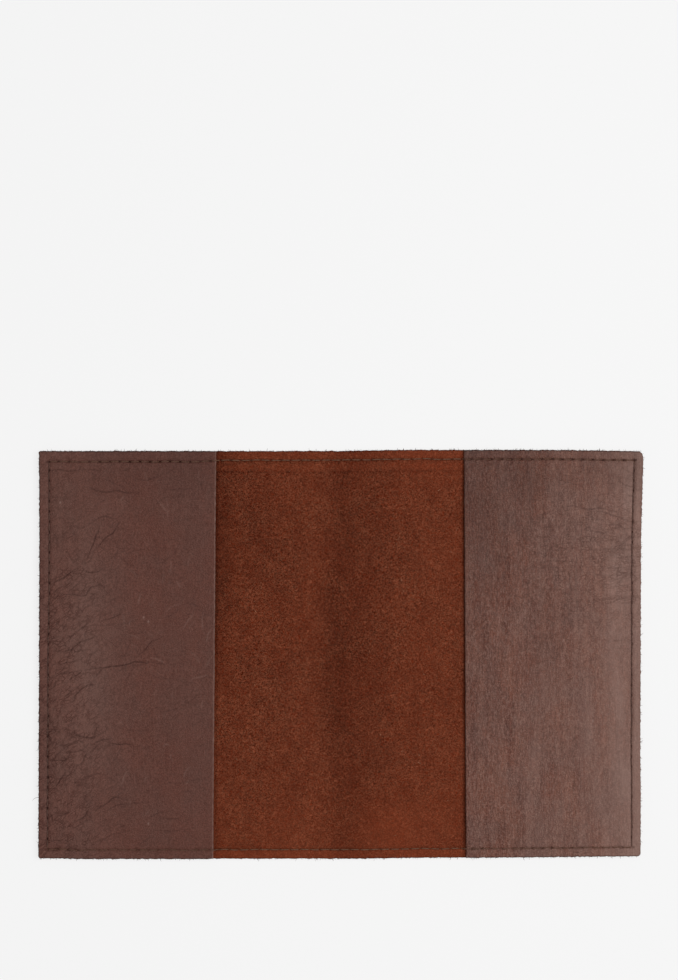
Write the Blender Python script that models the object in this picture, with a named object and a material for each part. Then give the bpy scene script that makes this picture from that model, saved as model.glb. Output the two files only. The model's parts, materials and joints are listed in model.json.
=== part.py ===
"""Passport holder: one leather cover folded at a soft spine, with a sewn pocket flap on each half.

Run it with: blender --background --python part.py

Metres, +Z up. The holder lies open and flat, its outer grain face down. The origin is on the table, under the
middle of the spine. X runs across the open holder, from the front half (-X) to the back half (+X), and Y runs
up its height. The hide is one piece and so is each flap; they are cut into panels here only where they bend.
"""

import math

import bmesh
import bpy
from mathutils import Matrix, Vector

MM = 0.001

# Leather.
OPEN_WIDTH = 200 * MM
HEIGHT = 135 * MM
COVER_THICKNESS = 1.3 * MM
FLAP_THICKNESS = 1.1 * MM
FLAP_WIDTH = 58.5 * MM
CORNER_RADIUS = 1.5 * MM
CORNER_STEPS = 3
LAYER_GAP = 0.05 * MM  # between the cover and the flap leather sewn onto it
POCKET_GAP = 0.7 * MM  # between the cover and the free part of a flap
BEND_GAP = 0.4 * MM  # between two panels that bend against each other

# Seam, all the way round the holder.
SEAM_INSET = 3.0 * MM
STITCHES_ACROSS = 58
STITCHES_UP = 38
SPINE_STITCHES = 3  # the spine is this many stitches wide, so it bends between two holes
MARGIN_WIDTH = 4.2 * MM  # the sewn-down border of a flap
SLOT_LENGTH = 1.1 * MM
SLOT_WIDTH = 0.75 * MM
GROOVE_WIDTH = 0.9 * MM
INNER_GROOVE_DEPTH = 0.35 * MM
OUTER_GROOVE_DEPTH = 0.56 * MM

# Thread: the needle thread shows inside the holder, and the bobbin thread on its outer face.
THREAD_RADIUS = 0.25 * MM
THREAD_GAP = 0.03 * MM
THREAD_LEAD = 0.35 * MM  # the thread starts to dive this far before a hole
LOCK_GAP = 0.08 * MM  # between the two threads where they cross inside the leather
STEP_GAP = 0.15 * MM  # between the needle thread and a flap's free edge, where it steps down

# How far a cutter runs past the leather it cuts.
CUT_SPARE = 1 * MM

# Worked out from the above.
HALF_WIDTH = OPEN_WIDTH / 2
HALF_HEIGHT = HEIGHT / 2
SEAM_X = HALF_WIDTH - SEAM_INSET
SEAM_Y = HALF_HEIGHT - SEAM_INSET
PITCH_X = 2 * SEAM_X / STITCHES_ACROSS
PITCH_Y = 2 * SEAM_Y / STITCHES_UP
BEND_X = SPINE_STITCHES * PITCH_X / 2  # the two lines that the cover bends about
PANEL_X = BEND_X + BEND_GAP / 2
FLAP_EDGE_X = HALF_WIDTH - FLAP_WIDTH
FLAP_ROOT_X = HALF_WIDTH - MARGIN_WIDTH - BEND_GAP
MARGIN_BASE = COVER_THICKNESS + LAYER_GAP
MARGIN_TOP = MARGIN_BASE + FLAP_THICKNESS
FLAP_BASE = COVER_THICKNESS + POCKET_GAP
THREAD_SINK = INNER_GROOVE_DEPTH - THREAD_GAP - THREAD_RADIUS  # the needle thread's centre below the surface
BOBBIN_LEVEL = OUTER_GROOVE_DEPTH - THREAD_GAP - THREAD_RADIUS
THREAD_END_GAP = BEND_GAP / 2 + THREAD_GAP
STEP_X = FLAP_EDGE_X - THREAD_RADIUS - STEP_GAP
FRONT, BACK = -1, 1

COVER_COLOR = (0.112, 0.026, 0.012)
FLAP_COLOR = (0.107, 0.050, 0.038)
THREAD_COLOR = (0.030, 0.014, 0.010)


def clear_scene():
    for obj in list(bpy.data.objects):
        bpy.data.objects.remove(obj)


def collection(name):
    made = bpy.data.collections.new(name)
    bpy.context.scene.collection.children.link(made)
    return made


def dress(obj, color, roughness):
    """Gives a piece a material of its own."""
    made = bpy.data.materials.new(obj.name + "_finish")
    made.use_nodes = True
    shader = made.node_tree.nodes["Principled BSDF"]
    shader.inputs["Base Color"].default_value = (*color, 1)
    shader.inputs["Roughness"].default_value = roughness
    shader.inputs["Metallic"].default_value = 0
    obj.data.materials.append(made)


# Joints: an empty stands on each joint's axis, and carries what turns about it.


def hinge(name, x, z, parent=None):
    made = bpy.data.objects.new(name, None)
    made.location = (x, 0, z)
    bpy.context.scene.collection.objects.link(made)
    carry(parent, made)
    return made


def carry(parent, obj):
    """Parents a piece without moving it."""
    if parent is None:
        return
    bpy.context.view_layer.update()
    obj.parent = parent
    obj.matrix_parent_inverse = parent.matrix_world.inverted()


# Outlines: lists of (x, y) points, for the flat pieces of leather and for the cutters that groove them.


def arc(centre, radius, start):
    """A quarter turn anticlockwise from the angle start."""
    turns = [start + math.pi / 2 * i / CORNER_STEPS for i in range(CORNER_STEPS + 1)]
    return [(centre[0] + radius * math.cos(t), centre[1] + radius * math.sin(t)) for t in turns]


def on_side(points, side):
    """An outline is drawn for the back half, and turned over for the front."""
    return points if side == BACK else [(-x, y) for x, y in reversed(points)]


def outer_corners(x, y, radius):
    """The two outer corners of the back half, from the bottom up."""
    low = arc((x - radius, -y + radius), radius, -math.pi / 2)
    high = arc((x - radius, y - radius), radius, 0)
    return low + high


def panel_outline(side):
    corners = outer_corners(HALF_WIDTH, HALF_HEIGHT, CORNER_RADIUS)
    return on_side([(PANEL_X, -HALF_HEIGHT), *corners, (PANEL_X, HALF_HEIGHT)], side)


def rectangle(x0, x1, y0, y1):
    return [(x0, y0), (x1, y0), (x1, y1), (x0, y1)]


def band_outline(side, inner_x, outer_inset, inner_inset, radius=0.0):
    """A C-shaped band round one half, between two insets from its edge, open towards the spine."""
    x_out, y_out = HALF_WIDTH - outer_inset, HALF_HEIGHT - outer_inset
    x_in, y_in = HALF_WIDTH - inner_inset, HALF_HEIGHT - inner_inset
    outside = outer_corners(x_out, y_out, radius) if radius else [(x_out, -y_out), (x_out, y_out)]
    inside = [(x_in, y_in), (x_in, -y_in)]
    points = [(inner_x, -y_out), *outside, (inner_x, y_out), (inner_x, y_in), *inside, (inner_x, -y_in)]
    return on_side(points, side)


def seam_band(side, inner_x):
    return band_outline(side, inner_x, SEAM_INSET - GROOVE_WIDTH / 2, SEAM_INSET + GROOVE_WIDTH / 2)


def seam_run(x0, x1, y):
    return rectangle(x0, x1, y - GROOVE_WIDTH / 2, y + GROOVE_WIDTH / 2)


# Solids.


def as_mesh(curve, into):
    """The curve object made a mesh object of the same name, with its caps welded on."""
    bpy.context.view_layer.update()
    graph = bpy.context.evaluated_depsgraph_get()
    mesh = bpy.data.meshes.new_from_object(curve.evaluated_get(graph))
    name, place = curve.name, curve.matrix_world.copy()
    bpy.data.objects.remove(curve)
    work = bmesh.new()
    work.from_mesh(mesh)
    bmesh.ops.remove_doubles(work, verts=work.verts, dist=0.001 * MM)
    bmesh.ops.recalc_face_normals(work, faces=work.faces)
    work.to_mesh(mesh)
    work.free()
    made = bpy.data.objects.new(name, mesh)
    made.matrix_world = place
    into.objects.link(made)
    return made


def sheet(name, outline, base, thickness, into):
    """A flat piece with the given outline, from the height base up."""
    data = bpy.data.curves.new(name, "CURVE")
    data.dimensions = "2D"
    data.fill_mode = "BOTH"
    data.extrude = thickness / 2
    spline = data.splines.new("POLY")
    spline.points.add(len(outline) - 1)
    for point, (x, y) in zip(spline.points, outline):
        point.co = (x, y, 0, 1)
    spline.use_cyclic_u = True
    curve = bpy.data.objects.new(name, data)
    curve.location.z = base + thickness / 2
    into.objects.link(curve)
    return as_mesh(curve, into)


def cut(obj, cutter):
    cutter.hide_render = True
    cutter.display_type = "WIRE"
    modifier = obj.modifiers.new(cutter.name, "BOOLEAN")
    modifier.operation = "DIFFERENCE"
    modifier.object = cutter


def groove_under(obj, name, outline, into):
    """A groove in the outer face, for the bobbin thread."""
    cut(obj, sheet(name, outline, -CUT_SPARE, CUT_SPARE + OUTER_GROOVE_DEPTH, into))


def groove_over(obj, name, outline, top, into):
    """A groove in the upper face, for the needle thread."""
    cut(obj, sheet(name, outline, top - INNER_GROOVE_DEPTH, INNER_GROOVE_DEPTH + CUT_SPARE, into))


def same_place(a, b):
    return math.isclose(a, b, abs_tol=0.01 * MM)


def pierce(obj, name, holes, into):
    """Cuts the stitch holes: slots that run along the seam, and square ones at the corners."""
    work = bmesh.new()
    for hole in holes:
        size_x = SLOT_LENGTH if same_place(abs(hole.y), SEAM_Y) else SLOT_WIDTH
        size_y = SLOT_LENGTH if same_place(abs(hole.x), SEAM_X) else SLOT_WIDTH
        place = Matrix.Translation((hole.x, hole.y, MARGIN_TOP / 2))
        shape = Matrix.Diagonal((size_x, size_y, MARGIN_TOP + 2 * CUT_SPARE, 1))
        bmesh.ops.create_cube(work, size=1, matrix=place @ shape)
    mesh = bpy.data.meshes.new(name)
    work.to_mesh(mesh)
    work.free()
    cutter = bpy.data.objects.new(name, mesh)
    into.objects.link(cutter)
    cut(obj, cutter)


# The seam: its stitch holes in order round the holder, and the two threads that lock in them.


def half_holes(side):
    """The holes of one half, from the spine along the top, down the outer side, and back along the bottom."""
    first = (STITCHES_ACROSS - SPINE_STITCHES) // 2
    xs = [side * (SEAM_X - i * PITCH_X) for i in range(first, -1, -1)]
    ys = [SEAM_Y - j * PITCH_Y for j in range(1, STITCHES_UP)]
    top = [(x, SEAM_Y) for x in xs]
    outer = [(side * SEAM_X, y) for y in ys]
    bottom = [(x, -SEAM_Y) for x in reversed(xs)]
    return [Vector((x, y, 0)) for x, y in top + outer + bottom]


def spine_holes(y):
    middle = (SPINE_STITCHES - 1) / 2
    return [Vector(((i - middle) * PITCH_X, y, 0)) for i in range(SPINE_STITCHES)]


def over_flap(point):
    return abs(point.x) > STEP_X


def needle_level(point):
    """Height of the needle thread's centre where it lies on the leather."""
    return (MARGIN_TOP if over_flap(point) else COVER_THICKNESS) - THREAD_SINK


def bobbin_level(_point):
    return BOBBIN_LEVEL


def lock_height(point, level):
    """Height of a thread's centre where it crosses the other, half-way through the leather."""
    middle = (needle_level(point) + BOBBIN_LEVEL) / 2
    apart = THREAD_RADIUS + LOCK_GAP / 2
    return middle + apart if level is needle_level else middle - apart


def at_height(point, z):
    return Vector((point.x, point.y, z))


def thread_path(stops, level):
    """A thread's line: flat on the leather between holes, down into each hole and back up."""
    start, end = stops[0], stops[-1]
    points = [at_height(start, level(start))]
    for before, hole, after in zip(stops, stops[1:], stops[2:]):
        enter = hole + (before - hole).normalized() * THREAD_LEAD
        leave = hole + (after - hole).normalized() * THREAD_LEAD
        points.append(at_height(enter, level(hole)))
        points.append(at_height(hole, lock_height(hole, level)))
        points.append(at_height(leave, level(hole)))
        if level is needle_level and over_flap(hole) != over_flap(after):
            points.append(Vector((math.copysign(STEP_X, hole.x), hole.y, MARGIN_TOP - THREAD_SINK)))
    points.append(at_height(end, level(end)))
    return points


def thread(name, points, into):
    data = bpy.data.curves.new(name, "CURVE")
    data.dimensions = "3D"
    data.bevel_depth = THREAD_RADIUS
    data.bevel_resolution = 0
    data.use_fill_caps = True
    spline = data.splines.new("POLY")
    spline.points.add(len(points) - 1)
    for point, place in zip(spline.points, points):
        point.co = (*place, 1)
    made = bpy.data.objects.new(name, data)
    into.objects.link(made)
    dress(made, THREAD_COLOR, roughness=0.7)
    return made


# The pieces.


def make_cover_half(side, name, body, parts, cutters):
    cover = sheet(name + "_cover_panel", panel_outline(side), 0, COVER_THICKNESS, parts)
    inner_x = PANEL_X - CUT_SPARE
    groove_under(cover, name + "_cover_groove", seam_band(side, inner_x), cutters)
    # The bare suede is grooved between the spine and the flap. Under the flap it stays whole.
    for label, y in (("top", SEAM_Y), ("bottom", -SEAM_Y)):
        bare = on_side(seam_run(inner_x, FLAP_EDGE_X, y), side)
        groove_over(cover, f"{name}_{label}_groove", bare, COVER_THICKNESS, cutters)
    pierce(cover, name + "_cover_slots", half_holes(side), cutters)
    dress(cover, COVER_COLOR, roughness=0.85)
    carry(body, cover)


def make_flap(side, name, body, flap_hinge, parts, cutters):
    outline = band_outline(side, FLAP_EDGE_X, 0, MARGIN_WIDTH, CORNER_RADIUS)
    margin = sheet(name + "_pocket_sewn_margin", outline, MARGIN_BASE, FLAP_THICKNESS, parts)
    groove = seam_band(side, FLAP_EDGE_X - CUT_SPARE)
    groove_over(margin, name + "_margin_groove", groove, MARGIN_TOP, cutters)
    pierce(margin, name + "_margin_slots", [h for h in half_holes(side) if over_flap(h)], cutters)
    dress(margin, FLAP_COLOR, roughness=0.55)
    carry(body, margin)

    y = HALF_HEIGHT - MARGIN_WIDTH - BEND_GAP
    free_part = on_side(rectangle(FLAP_EDGE_X, FLAP_ROOT_X, -y, y), side)
    flap = sheet(name + "_pocket_flap", free_part, FLAP_BASE, FLAP_THICKNESS, parts)
    dress(flap, FLAP_COLOR, roughness=0.55)
    carry(flap_hinge, flap)


def make_half_threads(side, name, body, parts):
    end_x = side * (BEND_X + THREAD_END_GAP)
    stops = [Vector((end_x, SEAM_Y, 0)), *half_holes(side), Vector((end_x, -SEAM_Y, 0))]
    carry(body, thread(name + "_needle_thread", thread_path(stops, needle_level), parts))
    carry(body, thread(name + "_bobbin_thread", thread_path(stops, bobbin_level), parts))


def make_spine(body, parts, cutters):
    half = BEND_X - BEND_GAP / 2
    outline = rectangle(-half, half, -HALF_HEIGHT, HALF_HEIGHT)
    spine = sheet("spine_strip", outline, 0, COVER_THICKNESS, parts)
    end_x = BEND_X - THREAD_END_GAP
    for label, y in (("top", SEAM_Y), ("bottom", -SEAM_Y)):
        run = seam_run(-BEND_X, BEND_X, y)
        groove_under(spine, f"spine_{label}_outer_groove", run, cutters)
        groove_over(spine, f"spine_{label}_inner_groove", run, COVER_THICKNESS, cutters)
        pierce(spine, f"spine_{label}_slots", spine_holes(y), cutters)
        stops = [Vector((-end_x, y, 0)), *spine_holes(y), Vector((end_x, y, 0))]
        carry(body, thread(f"spine_{label}_needle_thread", thread_path(stops, needle_level), parts))
        carry(body, thread(f"spine_{label}_bobbin_thread", thread_path(stops, bobbin_level), parts))
    dress(spine, COVER_COLOR, roughness=0.85)
    carry(body, spine)


def main():
    clear_scene()
    parts = collection("passport_holder")
    cutters = collection("cutters")
    spine_hinge = hinge("spine_fold_back", BEND_X, COVER_THICKNESS)
    front_hinge = hinge("spine_fold_front", -BEND_X, COVER_THICKNESS, spine_hinge)
    make_spine(spine_hinge, parts, cutters)
    for side, name, body in ((FRONT, "front", front_hinge), (BACK, "back", None)):
        flap_axis_z = FLAP_BASE + FLAP_THICKNESS / 2
        flap_hinge = hinge(name + "_pocket_open", side * FLAP_ROOT_X, flap_axis_z, body)
        make_cover_half(side, name, body, parts, cutters)
        make_flap(side, name, body, flap_hinge, parts, cutters)
        make_half_threads(side, name, body, parts)


main()
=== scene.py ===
"""Looks of the passport holder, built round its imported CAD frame.

Lengths here are in millimetres, and become metres when a mesh is made. X runs from the front half (-X) to
the back half (+X), Y up the holder and Z out of its suede face. A sheet of leather is a dense height field
with walls, and every surface takes its pattern from the point's place at rest, so it stays put in a pose.
"""

import json
import math

import bpy
import numpy as np
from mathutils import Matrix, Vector


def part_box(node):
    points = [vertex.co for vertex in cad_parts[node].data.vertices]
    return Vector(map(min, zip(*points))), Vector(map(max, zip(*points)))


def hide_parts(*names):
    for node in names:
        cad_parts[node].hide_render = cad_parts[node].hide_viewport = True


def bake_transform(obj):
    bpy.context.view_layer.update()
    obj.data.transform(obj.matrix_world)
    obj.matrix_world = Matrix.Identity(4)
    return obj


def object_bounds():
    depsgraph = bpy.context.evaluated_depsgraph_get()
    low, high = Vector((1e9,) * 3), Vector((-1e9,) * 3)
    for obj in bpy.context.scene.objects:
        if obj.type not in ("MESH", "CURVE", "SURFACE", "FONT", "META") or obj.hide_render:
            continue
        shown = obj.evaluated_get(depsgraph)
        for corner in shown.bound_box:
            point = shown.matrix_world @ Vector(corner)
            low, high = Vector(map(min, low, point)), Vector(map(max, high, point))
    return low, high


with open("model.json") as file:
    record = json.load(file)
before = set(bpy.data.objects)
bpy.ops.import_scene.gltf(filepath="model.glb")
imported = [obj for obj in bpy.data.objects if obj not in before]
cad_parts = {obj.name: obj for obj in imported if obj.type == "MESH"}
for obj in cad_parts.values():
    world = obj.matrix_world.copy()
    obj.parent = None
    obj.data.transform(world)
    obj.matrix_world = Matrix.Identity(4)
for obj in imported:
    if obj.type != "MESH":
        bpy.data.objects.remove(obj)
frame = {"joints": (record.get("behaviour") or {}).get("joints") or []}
cad_low, cad_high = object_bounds()

MM = 0.001


def cad_box(node):
    low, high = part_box(node)
    return low / MM, high / MM


def joint_place(name):
    joint = next(j for j in frame["joints"] if j["name"] == name)
    return Vector(joint["pos_m"]) / MM


# Sizes from the frame.
HALF_WIDTH = cad_high.x / MM
HALF_HEIGHT = cad_high.y / MM
COVER_TOP = cad_box("back_cover_panel")[1].z
MARGIN_LOW, MARGIN_HIGH = cad_box("back_pocket_sewn_margin")
FLAP_EDGE = MARGIN_LOW.x
FLAP_THICKNESS = MARGIN_HIGH.z - MARGIN_LOW.z
LAYER_GAP = MARGIN_LOW.z - COVER_TOP
CAD_THREAD_LOW, CAD_THREAD_HIGH = cad_box("spine_top_needle_thread")
SEAM_Y = (CAD_THREAD_LOW.y + CAD_THREAD_HIGH.y) / 2
SEAM_X = cad_box("back_needle_thread")[1].x - (CAD_THREAD_HIGH.y - CAD_THREAD_LOW.y) / 2
BEND_X = joint_place("spine_fold_back").x
SPINE_STITCHES = 3
PITCH_X = 2 * BEND_X / SPINE_STITCHES
STITCHES_UP = 38
PITCH_Y = 2 * SEAM_Y / STITCHES_UP

# Sizes of the looks.
CORNER_RADII = {(-1, 1): 0.5, (-1, -1): 0.8, (1, 1): 2, (1, -1): 1.2}
SHEAR = 0.0035  # the hide was cut slightly out of square
THREAD_RADIUS = 0.16
PLY_LENGTH = 1.1  # one turn of the thread's twist
FOLD_LINE_INSET = 7
SHOULDER = 0.34  # width of the rounded shoulder at a flap's free edge
FREE_EDGE_SHIFT = {"front": -0.35, "back": -0.05}
FREE_EDGE_TILT = {"front": 0.0073, "back": -0.0052}
SIDES = {"front": -1, "back": 1}
COVER_GRID = 0.45  # spacing of the cover's mesh lines
FLAP_GRID = 0.28  # the same for a flap
ROWS_Y = (-HALF_HEIGHT, -SEAM_Y, SEAM_Y, HALF_HEIGHT)  # where the lines come closer together
# Pale specks of dust on the flaps.
SPECKS = ((-65.2, 12.4), (-63.6, 11), (-63.2, -55.8), (70.6, 44.7), (-93, 50.5), (84, -22))


# Noise on arrays: smooth pseudo-random values between -1 and 1, the same on each run.


def lattice(ix, iy, seed):
    h = ix.astype(np.uint32) * np.uint32(374761393) + iy.astype(np.uint32) * np.uint32(668265263)
    h = h + np.uint32((seed * 2654435761) % 2**32)
    h = (h ^ (h >> np.uint32(13))) * np.uint32(1274126177)
    h = (h ^ (h >> np.uint32(15))) * np.uint32(2246822519)
    return ((h ^ (h >> np.uint32(16))) & np.uint32(0xFFFF)) / 65535


def noise(x, y, seed=0):
    fx, fy = np.floor(x), np.floor(y)
    ix, iy = fx.astype(np.int64), fy.astype(np.int64)
    u, v = x - fx, y - fy
    total = 0
    su, sv = (t * t * t * (t * (t * 6 - 15) + 10) for t in (u, v))
    for dx, wx in ((0, 1 - su), (1, su)):
        for dy, wy in ((0, 1 - sv), (1, sv)):
            turn = lattice(ix + dx, iy + dy, seed) * 2 * math.pi
            total = total + wx * wy * (np.cos(turn) * (u - dx) + np.sin(turn) * (v - dy))
    return total * 1.5


def fractal(x, y, seed=0, octaves=4):
    total, size = 0, 1
    for k in range(octaves):
        total = total + noise(x * 2**k, y * 2**k, seed + 31 * k) * size
        size *= 0.5
    return total


def smooth(t):
    t = np.clip(t, 0, 1)
    return t * t * (3 - 2 * t)


def grid(xs, ys):
    return np.meshgrid(xs, ys, indexing="ij")


def bell(d, width):
    return np.exp(-((d / width) ** 2))


# The holder's outline, drawn as a rectangle and then warped to the shape the leather was really cut to.


def warp(x, y):
    """Moves design points to their real place: a slight shear, uneven long edges and a wavering cut."""
    edge_y = smooth((abs(y) - 0.5 * HALF_HEIGHT) / (0.5 * HALF_HEIGHT))
    edge_x = smooth((abs(x) - 0.8 * HALF_WIDTH) / (0.2 * HALF_WIDTH))
    top = 0.12 + 0.36 * smooth((x + 5) / 25) - 0.4 * smooth((x - 68) / 32)
    low = -0.45 + 0.0092 * np.maximum(x, 0) + 0.25 * smooth((-85 - x) / 12)
    long_edge = np.where(y > 0, top, low) + 0.06 * noise(x / 19, 0, 6)
    front = 0.14 + 0.25 * smooth((y - 30) / 40) + 0.08 * noise(y / 12, 0, 7)
    back = -0.2 + 0.62 * smooth((y - 34) / 34) + 0.2 * smooth((-y - 30) / 20)
    short_edge = np.where(x < 0, -front, back)
    cut_x = ragged(y, 8) * bell(HALF_WIDTH - abs(x), 0.5) * np.sign(x)
    cut_y = ragged(x, 9) * bell(HALF_HEIGHT - abs(y), 0.5) * np.sign(y)
    inward_x = 0.3 * smooth(y / 20) * (x < 0)
    inward_y = -0.5 * smooth((-38 - x) / 10) * (y > 0)
    seam_x = (inward_x + 0.16 * noise(y / 6, 0, 10)) * bell(abs(x) - SEAM_X, 1.4)
    seam_y = (inward_y + 0.16 * noise(x / 6, 0, 11)) * bell(abs(y) - SEAM_Y, 1.4)
    new_x = x + SHEAR * y + short_edge * edge_x + cut_x + seam_x
    return new_x, y + long_edge * edge_y + cut_y + seam_y


def ragged(along, seed):
    """The small unevenness of a raw-cut edge."""
    return 0.12 * noise(along / 2.3, 0, seed) + 0.12 * noise(along / 0.9, 0, seed + 50)


def rounded(x, y, sx):
    """Rounds the outer corners on the side sx: the square at each one turns into a quarter disc."""
    for sy in (-1, 1):
        radius = CORNER_RADII[sx, sy]
        to_x, to_y = HALF_WIDTH - radius, HALF_HEIGHT - radius
        a, b = (x * sx - to_x) / radius, (y * sy - to_y) / radius
        inside = (a > 0) & (b > 0)
        a, b = np.clip(a, 0, 1), np.clip(b, 0, 1)
        x = np.where(inside, sx * (to_x + a * np.sqrt(1 - b * b / 2) * radius), x)
        y = np.where(inside, sy * (to_y + b * np.sqrt(1 - a * a / 2) * radius), y)
    return x, y


# Heights. All take design points, before the warp.


def seam_distance(x, y):
    """Distance to the seam line, below 0 outside it."""
    return np.minimum(SEAM_X - abs(x), SEAM_Y - abs(y))


def edge_distance(x, y):
    return np.minimum(HALF_WIDTH - abs(x), HALF_HEIGHT - abs(y))


def hole_closeness(x, y):
    """About 1 at a stitch hole's centre, falling to 0 about half a millimetre away."""
    column, row = x / PITCH_X, (y + SEAM_Y) / PITCH_Y
    along_x = (column - np.round(column)) * PITCH_X
    along_y = (row - np.round(row)) * PITCH_Y
    torn_x = 0.8 + 0.5 * noise(np.round(column) * 0.37, np.sign(y) * 3.3, 12)
    torn_y = 0.8 + 0.5 * noise(np.round(row) * 0.37, np.sign(x) * 3.3, 13)
    on_row = torn_x * bell(along_x, 0.85) * bell(abs(y) - SEAM_Y, 0.28) * (abs(x) < SEAM_X + 1)
    on_side = torn_y * bell(along_y, 0.45) * bell(abs(x) - SEAM_X, 0.22) * (abs(y) < SEAM_Y + 1)
    return np.maximum(on_row, on_side)


def seam_relief(x, y, depth):
    """The leather drawn down along the seam by the thread, and down further at each hole."""
    d = abs(seam_distance(x, y))
    return -depth * bell(d, 0.75) - 0.35 * hole_closeness(x, y)


def edge_relief(x, y, radius):
    """The rounded shoulder of a cut edge."""
    d = np.clip(edge_distance(x, y), 0, radius)
    return -(radius - np.sqrt(np.maximum(radius**2 - (radius - d) ** 2, 0)))


def spine_arch(x, y):
    """The spine stays slightly raised where it was folded."""
    return 0.32 * bell(x - 1.5, 7.5) + 0.1 * bell(x + 6, 2.2) * (1 + noise(y / 14, 0, 15))


def cover_top(x, y):
    bare = smooth((FLAP_EDGE + 1 - abs(x)) / 2)
    relief = seam_relief(x, y, 0.16) * bare + edge_relief(x, y, 0.22)
    nap = 0.035 * fractal(x / 2.1, y / 2.1, 21) + 0.02 * noise(x / 0.9, y / 0.9, 22)
    dent = -0.1 * crease_line(x, y) * bare
    return COVER_TOP + relief + bare * (nap + dent) + spine_arch(x, y) - 0.06


def crease_line(x, y):
    """The straight fold line that runs below the top seam."""
    here = HALF_HEIGHT - FOLD_LINE_INSET + 0.25 * noise(x / 22, 0, 27)
    return bell(y - here, 0.26) * (0.6 + 0.6 * noise(x / 8, 0, 28))


def cover_bottom(x, y):
    relief = -seam_relief(x, y, 0.16) * 0.8 - edge_relief(x, y, 0.3)
    return 0.02 + relief + spine_arch(x, y) * 0.9 + 0.03 * (1 + noise(x / 9, y / 9, 25))


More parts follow.
